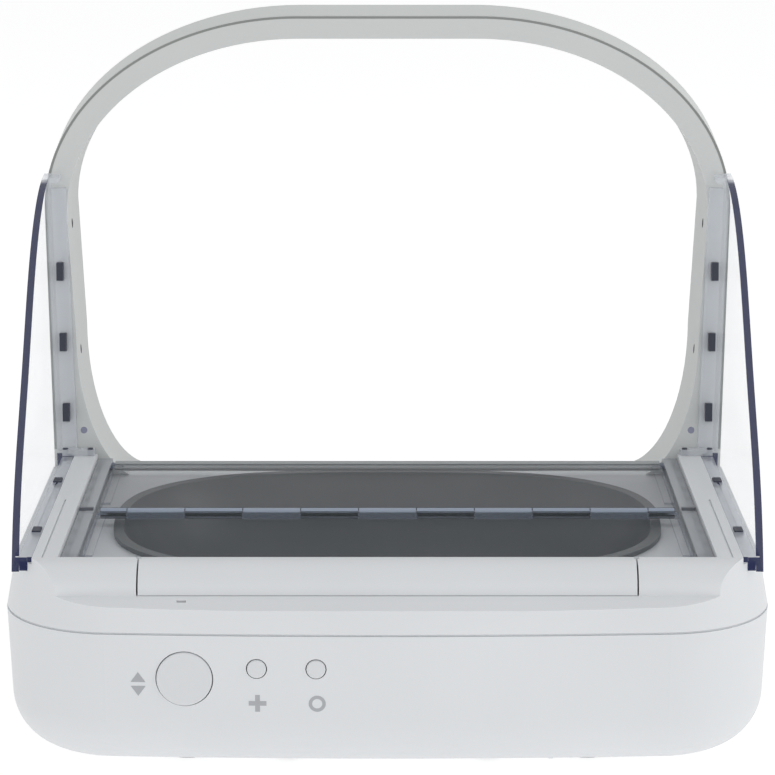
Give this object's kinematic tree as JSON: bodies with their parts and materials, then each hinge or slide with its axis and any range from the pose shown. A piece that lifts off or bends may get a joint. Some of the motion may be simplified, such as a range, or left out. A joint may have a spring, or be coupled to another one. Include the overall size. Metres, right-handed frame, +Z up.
{
  "type": "microchip pet feeder",
  "caption": "Pet feeder with an oval bowl under a folding clear lid, an antenna arch, clear side shields, push buttons and battery doors below.",
  "frame": {"origin": "centre of the overall box at the level of the floor", "axes": "+Z up, +Y toward the feeding side with the arch, -Y toward the control side with the buttons, X across"},
  "size_m": [0.233, 0.304, 0.2086],
  "materials": {
    "white_shell": "satin white",
    "grey_arch": "satin light grey",
    "bowl_grey": "satin dark grey",
    "clear": "clear tinted plastic",
    "steel": "bright",
    "copper": "wound wire",
    "dark": "dark plastic",
    "board": "lacquered board",
    "rubber": "soft",
    "nylon": "natural",
    "motor_can": "plated can",
    "cell_wrap": "plain wrap",
    "mat": "soft grey mat"
  },
  "bodies": {
    "housing": {"lower_housing": "white_shell", "upper_housing": "white_shell", "centre_cover": "white_shell", "bowl": "bowl_grey", "arch_inner": "grey_arch", "arch_outer": "white_shell", "antenna_coil": "copper", "sensor_windows": "dark", "left_shield": "clear", "right_shield": "clear", "shield_clips": "dark", "left_track": "clear", "right_track": "clear", "track_stops": "dark", "gearbox": "nylon", "motor": "motor_can", "circuit_board": "board", "switches": "dark", "board_screws": "steel", "board_parts": "dark", "status_emitter": "nylon", "light_guide": "clear", "cells": "cell_wrap", "battery_springs": "steel", "battery_contacts": "steel", "rubber_feet": "rubber", "housing_screws": "steel", "front_tray": "white_shell", "front_mat": "mat"},
    "lid_rear": {"lid_rear_panel": "clear", "lid_shaft": "steel", "lid_mid_rod": "steel", "lid_gear": "nylon"},
    "lid_front": {"lid_front_panel": "clear", "lid_far_bar": "steel"},
    "drive": {"drive_gear": "nylon", "cross_shaft": "steel"},
    "bowl_key": {"bowl_button": "white_shell"},
    "pair_key": {"pair_button": "white_shell"},
    "function_key": {"function_button": "white_shell"},
    "left_door": {"left_battery_door": "white_shell"},
    "right_door": {"right_battery_door": "white_shell"}
  },
  "joints": [
    {"name": "lid_open", "type": "hinge", "parent": "housing", "child": "lid_rear", "pos_m": [0, -0.1316, 0.0596], "axis": [1, 0, 0], "range_deg": [0, 65]},
    {"name": "lid_fold", "type": "hinge", "parent": "lid_rear", "child": "lid_front", "pos_m": [0, -0.0708, 0.0596], "axis": [1, 0, 0], "range_deg": [-130, 0]},
    {"name": "drive_turn", "type": "hinge", "parent": "housing", "child": "drive", "pos_m": [0.08, -0.1268, 0.05129], "axis": [1, 0, 0], "range_deg": [-65, 0]},
    {"name": "bowl_press", "type": "slide", "parent": "housing", "child": "bowl_key", "axis": [0, 1, 0], "range_m": [0, 0.001], "stiffness_N_per_m": 400},
    {"name": "pair_press", "type": "slide", "parent": "housing", "child": "pair_key", "axis": [0, 1, 0], "range_m": [0, 0.001], "stiffness_N_per_m": 400},
    {"name": "function_press", "type": "slide", "parent": "housing", "child": "function_key", "axis": [0, 1, 0], "range_m": [0, 0.001], "stiffness_N_per_m": 400},
    {"name": "left_door_swing", "type": "hinge", "parent": "housing", "child": "left_door", "pos_m": [-0.0758, -0.064, 0.0027], "axis": [0, -1, 0], "range_deg": [0, 95]},
    {"name": "right_door_swing", "type": "hinge", "parent": "housing", "child": "right_door", "pos_m": [0.0758, -0.064, 0.0027], "axis": [0, 1, 0], "range_deg": [0, 95]}
  ],
  "couplings": [
    {"joint": "lid_fold", "follows": "lid_open", "ratio": -2},
    {"joint": "drive_turn", "follows": "lid_open", "ratio": -1}
  ]
}
